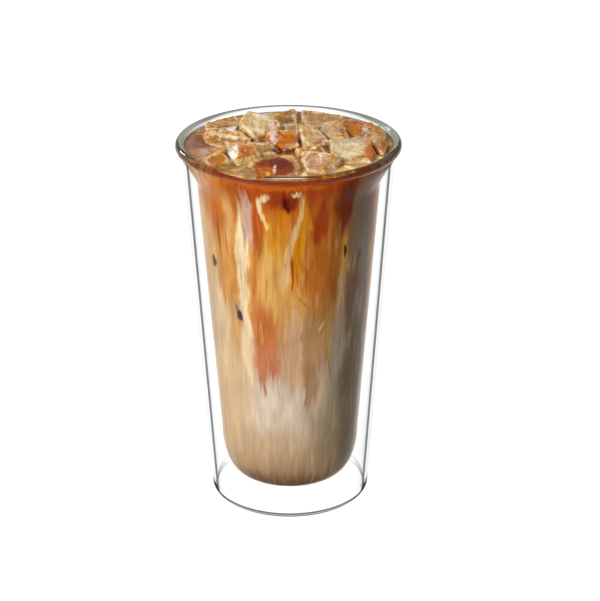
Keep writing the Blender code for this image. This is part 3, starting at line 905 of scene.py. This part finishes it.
# %% Patches on the ice: colour, middle (mm), half size (mm), lean, softness, strength
ICE_PATCHES = (
    ("#B98A72", (-34.5, -2.4), (6.5, 4.5), 0, 0.3, 0.95),
    # A painted soft highlight on the bare liquid at the left
    ("#D2B0A0", (-31.3, -5.1), (2.2, 1.6), 0, 0.7, 0.8),
    ("#BC8450", (-28.5, 0.1), (8, 1.9), -8, 0.3, 0.8),
    ("#CDA26C", (-23.5, 5.7), (9, 1.6), 4, 0.3, 0.66),
    ("#94602E", (-24.0, 4.7), (7.5, 0.4), 0, 0.5, 0.8),
    ("#F1DFB2", (-23.5, 1.3), (7.6, 0.7), -9, 0.4, 0.95),
    # A painted white highlight on the left slab
    ("#FFFAF0", (-20.9, 4.0), (2.7, 0.9), 8, 0.4, 1.0),
    ("#E2CBA0", (-12.0, 5.7), (4.6, 5.0), 0, 0.3, 0.8),
    ("#E6E0D4", (-9.7, 9.2), (2.2, 1.6), 0, 0.6, 0.72),
    ("#A8703C", (-10.3, 0.3), (2.4, 1.0), 20, 0.5, 0.72),
    ("#B88A56", (-1.1, 8.3), (3.4, 2.4), 0, 0.3, 0.72),
    ("#9C6430", (0.5, 7.0), (2.0, 1.0), 0, 0.5, 0.66),
    # A painted white sparkle along a ridge
    ("#E9D9CC", (-6.0, 2.7), (1.2, 4.8), 4, 0.5, 0.8),
    ("#C8975E", (-0.1, 3.7), (3.4, 1.7), 0, 0.2, 0.8),
    ("#D8A878", (0.8, -3.5), (3.2, 1.7), 0, 0.3, 0.72),
    ("#F6E6CC", (-1.2, 5.2), (3.8, 0.35), 1, 0.4, 1.0),
    ("#EBD4B2", (3.4, -0.5), (0.45, 5.2), 3, 0.4, 0.95),
    ("#DEBB8C", (8.1, 0.5), (4.2, 4.6), 0, 0.25, 0.8),
    ("#C4835A", (5.5, 2.1), (1.3, 1.4), 0, 0.5, 0.66),
    ("#B47232", (10.1, -2.3), (2.8, 1.3), 28, 0.4, 0.72),
    ("#C7A278", (10.5, 7.5), (8.4, 2.2), -4, 0.3, 0.66),
    ("#CDAA84", (15.1, 3.5), (4.6, 4.2), 0, 0.3, 0.72),
    ("#7C4A28", (11.1, 4.1), (1.3, 0.7), -20, 0.5, 0.8),
    ("#8A5834", (20.5, 4.3), (1.0, 2.7), 10, 0.5, 0.72),
    ("#E0D6C4", (29.1, 3.3), (1.1, 2.0), 0, 0.5, 0.72),
    ("#C69A62", (33.9, 1.3), (4.2, 4.6), -20, 0.35, 0.72),
    ("#A8753C", (36.0, -2.1), (1.6, 2.0), 0, 0.5, 0.7),
    ("#E0CCA4", (22.5, -3.2), (6.4, 3.6), 0, 0.2, 0.95),
    ("#C2B6A4", (24.5, -0.3), (5.0, 1.1), 6, 0.5, 0.72),
    ("#FBF2C4", (21.1, -6.2), (2.2, 1.2), 20, 0.5, 0.95),
    ("#F5E4C8", (32.7, -3.5), (0.45, 4.2), 17, 0.4, 1.0),
    ("#C89C80", (9.7, -7.4), (4.6, 3.4), 0, 0.3, 0.85),
    ("#E6CDA4", (12.0, -5.8), (2.6, 1.6), 20, 0.5, 0.66),
    ("#BE7E34", (10.3, -3.9), (5.6, 1.5), 24, 0.3, 0.72),
    ("#F0D8AC", (9.7, -3.1), (6.0, 0.35), 26, 0.4, 0.95),
    ("#CE9E66", (-9.7, -2.9), (2.9, 1.9), 0, 0.3, 0.72),
    ("#F4E2B8", (-9.7, -1.7), (2.7, 0.35), 2, 0.4, 0.95),
    ("#CC9A5E", (-20.1, -5.5), (8.4, 4.4), 8, 0.25, 0.8),
    # A painted white highlight on the front left piece
    ("#F6EAD6", (-20.4, -5.3), (1.7, 3.3), -24, 0.3, 1.0),
    ("#76543C", (-22.1, -3.3), (1.4, 1.3), 20, 0.5, 0.66),
    ("#B87434", (-15.0, -5.3), (2.6, 3.8), 10, 0.35, 0.92),
    ("#E9CFA0", (-28.0, -5.7), (4.0, 0.5), 32, 0.4, 0.8),
    ("#E0B880", (-6.7, -9.2), (11.6, 4.2), 0, 0.15, 0.95),
    # A painted shadow, reddish, in the gap of drink under the centre piece
    ("#945C34", (-2.1, -4.4), (5.4, 1.2), 0, 0.4, 0.95),
)
PAINTED_WINDOWS = (
    # The amber of the drink that clear ice would show, painted on
    ("#BC6E22", (0.3, 0.2), (3.1, 1.7), 2, 0.22, 0.95),
    ("#CE861C", (24.5, 3.0), (2.9, 1.9), 0, 0.25, 0.9),
    ("#C4741E", (30.9, -4.5), (2.6, 3.2), -18, 0.25, 0.9),
    ("#C47C28", (-25.7, -7.4), (2.6, 1.7), 14, 0.25, 0.95),
    ("#9A4824", (-5.4, -10.2), (8.0, 3.3), 0, 0.15, 1.0),
    ("#7C3622", (-3.0, -8.6), (4.4, 1.9), -6, 0.4, 0.85),
    ("#C86E1C", (-8.0, -11.6), (3.2, 1.8), 0, 0.4, 0.95),
    # Two painted glints in the front window
    ("#EDB458", (-7.6, -12.4), (0.9, 0.7), 0, 0.4, 0.9),
    ("#F8D4B4", (-5.2, -10.9), (0.55, 1.5), 0, 0.4, 1.0),
)
# The surface of the drink shares the painted amber patches of the window at the front
PAINTED_FRONT_WINDOW = PAINTED_WINDOWS[4:7]
FOAM = (
    ("#FFD8A4", (11.5, -12.2), (11, 1.5), 6, 0.4, 0.95),
    ("#FFDC98", (28.0, -9.0), (10, 1.8), 14, 0.35, 0.95),
    ("#E8BC88", (-15.5, -12.4), (9, 1.4), -5, 0.5, 0.9),
)
print("On the ice:", len(ICE_PATCHES), "patches and", len(PAINTED_WINDOWS), "windows")


# %% The patchwork
def patchwork(tree, levels, patches, closeness=None, painted_view_strength=0.0):
    """A colour for what floats in coffee: a ground by noise, the coffee that clear windows away from
    the edges would show, painted on, then patches, and fine mottling."""
    leaning, in_mm = leaning_map(tree)
    colour = add(tree, "ValToRGB", Fac=mottled(tree, in_mm, 2.6, 0.1, 0.9, 4.0), stops=[
        (index / (len(levels) - 1), lit(level)) for index, level in enumerate(levels)])
    for tone, size, share in (("#B46C1C", 3.0, 0.7), ("#F8EACC", 2.4, 0.6)):
        cells = add(tree, "TexNoise", Vector=in_mm, Scale=1.0 / size, Detail=4.0, Roughness=0.6,
                    Distortion=0.6)
        mask = add(tree, "MapRange", _0=cells, _1=0.53, _2=0.64, _4=share)
        colour = add(tree, "Mix", COLOURS, _0=mask, _6=colour, _7=lit(tone)).outputs[2]
    # Painted see-through: away from the edges, the amber of the coffee that clear ice would show
    if closeness:
        window = add(tree, "MapRange", _0=closeness, _1=0.45, _2=0.05, _4=painted_view_strength)
        share = add(tree, "Math", "MULTIPLY", _0=window, _1=mottled(tree, in_mm, 2.6, 0.2, 1.0))
        colour = add(tree, "Mix", COLOURS, _0=share, _6=colour, _7=lit("#B06C30")).outputs[2]
    colour = lay_patches(tree, colour, leaning, patches, lit)
    shade = add(tree, "Math", "MULTIPLY", _0=mottled(tree, in_mm, 1.0, 0.86, 1.12),
                _1=mottled(tree, in_mm, 2.8, 0.72, 1.22))
    return add(tree, "VectorMath", "SCALE", _0=colour, Scale=shade).outputs[0], in_mm


def bumpy(tree, shader, in_mm, size, distance):
    """Adds small waves to a shader's normal: cell size in millimetres, depth in metres."""
    waves = add(tree, "TexNoise", Vector=in_mm, Scale=1.0 / size, Detail=3.0, Roughness=0.5)
    bump = add(tree, "Bump", Height=waves, Strength=1.0, Distance=distance)
    tree.links.new(bump.outputs["Normal"], shader.inputs["Normal"])


# %% The surface between the ice
# The surface shares the ice's painted highlights and shadow, and the painted amber of the front window
surface_colour, in_mm = patchwork(
    top_tree, ("#8A4818", "#AE6C30", "#CC9452", "#E0B478", "#EECB94"), ICE_PATCHES + PAINTED_FRONT_WINDOW + FOAM)
top_tree.links.new(surface_colour, top_shader.inputs["Base Color"])
bumpy(top_tree, top_shader, in_mm, 1.8, 0.0003)
print("Surface finish:", len(top_tree.nodes), "nodes")

# %% The walls of the pockets that the ice lies in
pocket_clouds = mottled(pocket_tree, millimetres_of(pocket_tree), 3.0, 0.0, 1.0)
pocket_ramp = add(pocket_tree, "ValToRGB", Fac=pocket_clouds, stops=ramp_stops(
    (0.1, "#4A180A"), (0.5, "#A85418"), (0.9, "#D98E3A")))
pocket_tree.links.new(pocket_ramp.outputs["Color"], pocket_shader.inputs["Base Color"])
print("Pocket finish:", len(pocket_tree.nodes), "nodes")

# %% [markdown]
# ## The ice
#
# Broken ice melts as it floats: its corners go round and its faces scoop in. Each piece starts as
# its CAD block, is cut into small even faces, and is smoothed and scooped by noise. Each point
# also keeps how near it is to an edge of the block, because coffee and milk cling there.

# %% Shape of a piece of ice
ICE_VOXEL = 0.00032
SMOOTHINGS = 3
SHARP_EDGE = radians(22)
EDGE_NEAR = 0.0001
EDGE_FAR = 0.0025
SCOOP = 0.00080
SCOOP_SIZE = 0.0036
CHIP = 0.00012
CHIP_SIZE = 0.0013
SWELL = 0.00012


def edge_closeness(points, block):
    """How near each point is to a sharp edge of a block: 1 on the edge, 0 away from it."""
    nearest = np.full(len(points), 1.0)
    for edge in block.edges:
        if len(edge.link_faces) == 2 and edge.calc_face_angle() > SHARP_EDGE:
            start = np.array(edge.verts[0].co)
            along = np.array(edge.verts[1].co) - start
            share = np.clip((points - start) @ along / (along @ along), 0.0, 1.0)
            away = np.linalg.norm(points - (start + share[:, None] * along), axis=1)
            nearest = np.minimum(nearest, away)
    return np.clip((EDGE_FAR - nearest) / (EDGE_FAR - EDGE_NEAR), 0.0, 1.0)


def melted_ice(name, node, finish):
    """A piece of ice with rounded edges and scooped faces, where its CAD node is."""
    block = merged_copy(node)
    mesh = bpy.data.meshes.new(name)
    block.to_mesh(mesh)
    obj = bpy.data.objects.new(name, mesh)
    scene.collection.objects.link(obj)
    remesh = obj.modifiers.new("even", "REMESH")
    remesh.mode = "VOXEL"
    remesh.voxel_size = ICE_VOXEL
    even = bpy.data.meshes.new_from_object(obj.evaluated_get(bpy.context.evaluated_depsgraph_get()))
    bpy.data.objects.remove(obj, do_unlink=True)
    bm = bmesh.new()
    bm.from_mesh(even)
    for _ in range(SMOOTHINGS):
        bmesh.ops.smooth_vert(bm, verts=bm.verts, factor=0.5,
                              use_axis_x=True, use_axis_y=True, use_axis_z=True)
    bm.normal_update()
    closeness = edge_closeness(np.array([vert.co for vert in bm.verts]), block)
    moved = []
    for vert in bm.verts:
        scoop = abs(noise.noise(vert.co / SCOOP_SIZE)) * SCOOP
        chip = abs(noise.noise(vert.co / CHIP_SIZE)) * CHIP
        moved.append(vert.co + vert.normal * (SWELL - (scoop + chip)))
    for vert, place in zip(bm.verts, moved):
        vert.co = place
    piece = add_piece("melted_" + name, bm, finish, sharp=180)
    edge = piece.data.attributes.new("edge", "FLOAT", "POINT")
    edge.data.foreach_set("value", closeness.astype(np.float32))
    block.free()
    return piece


# %% Ice with coffee and milk on it
def ice_finish(name, levels, edge_tone, edge_strength, painted_view_strength, transmission, gloss):
    """Ice painted by the patchwork, with pale edges, cracks and seams."""
    finish, tree, shader = finish_of(
        name, Roughness=0.07, IOR=1.31, Transmission_Weight=transmission, Specular_IOR_Level=gloss)
    # Away from its edges a piece is clearer, and the coffee it would show there is painted on
    closeness = add(tree, "Attribute", {"attribute_name": "edge"}).outputs["Fac"]
    colour, in_mm = patchwork(tree, levels, ICE_PATCHES, closeness, painted_view_strength)
    ridge = add(tree, "MapRange", _0=closeness, _1=0.66, _2=0.92, _4=edge_strength)
    ridge_share = add(tree, "Math", {"operation": "MULTIPLY", "use_clamp": True},
                      _0=ridge, _1=mottled(tree, in_mm, 2.2, -0.2, 1.25))
    edged = add(tree, "Mix", COLOURS, _0=ridge_share, _6=colour, _7=lit(edge_tone)).outputs[2]
    # Fine pale cracks and dark seams run through it, where the noise lets them
    winding = add(tree, "TexNoise", Vector=in_mm, Scale=0.5, Detail=2.0).outputs["Color"]
    bent = add(tree, "VectorMath", "ADD", _0=in_mm, _1=winding)
    for tone, scale, spacing, width, strength, patchy in (
            ("#FFF6E4", 0.26, 1.0, 0.045, 0.55, (3.0, -0.4, 1.2)),
            ("#8A4A22", 0.34, 0.9, 0.05, 0.8, (4.0, 1.1, -0.4))):
        cells = add(tree, "TexVoronoi", {"feature": "DISTANCE_TO_EDGE"}, Vector=bent, Scale=scale,
                    Randomness=spacing)
        line = add(tree, "MapRange", _0=cells, _2=width, _3=strength, _4=0.0)
        share = add(tree, "Math", {"operation": "MULTIPLY", "use_clamp": True},
                    _0=line, _1=mottled(tree, in_mm, *patchy))
        edged = add(tree, "Mix", COLOURS, _0=share, _6=edged, _7=lit(tone)).outputs[2]
    # Last come the painted windows, with their painted glints
    edged = lay_patches(tree, edged, leaning_map(tree, 0.5)[0], PAINTED_WINDOWS, painted_window_glow)
    tree.links.new(edged, shader.inputs["Base Color"])
    bumpy(tree, shader, in_mm, 1.4, 0.0004)
    return finish


# %% The nineteen pieces
# Ice, frozen in a tray and broken: clear at heart and wet outside. Where milk clings it is
# cloudy and pale, and where it is clean the amber of the coffee that it would show is painted on it
cloudy_ice = ice_finish(
    "cloudy_ice", ("#8E5218", "#BE8238", "#D6A660", "#E6C68A", "#F6E6BC"), edge_tone="#F4E4C4",
    edge_strength=0.65, painted_view_strength=0.75, transmission=0.2, gloss=0.4)
clear_ice = ice_finish(
    "clear_ice", ("#7A3010", "#A8541A", "#CC8028", "#DA9C44", "#E8BC78"), edge_tone="#F0D4A4",
    edge_strength=0.6, painted_view_strength=0.5, transmission=0.2, gloss=0.1)
CLEAR_PIECES = ("ice_left_window", "ice_front_window", "ice_centre", "ice_right_amber",
                "ice_amber_sliver", "ice_far_right_back", "ice_far_right_front")
for name, node in ice_nodes.items():
    piece = melted_ice(name, node, clear_ice if name in CLEAR_PIECES else cloudy_ice)
    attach(piece, "root")
    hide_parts(name)
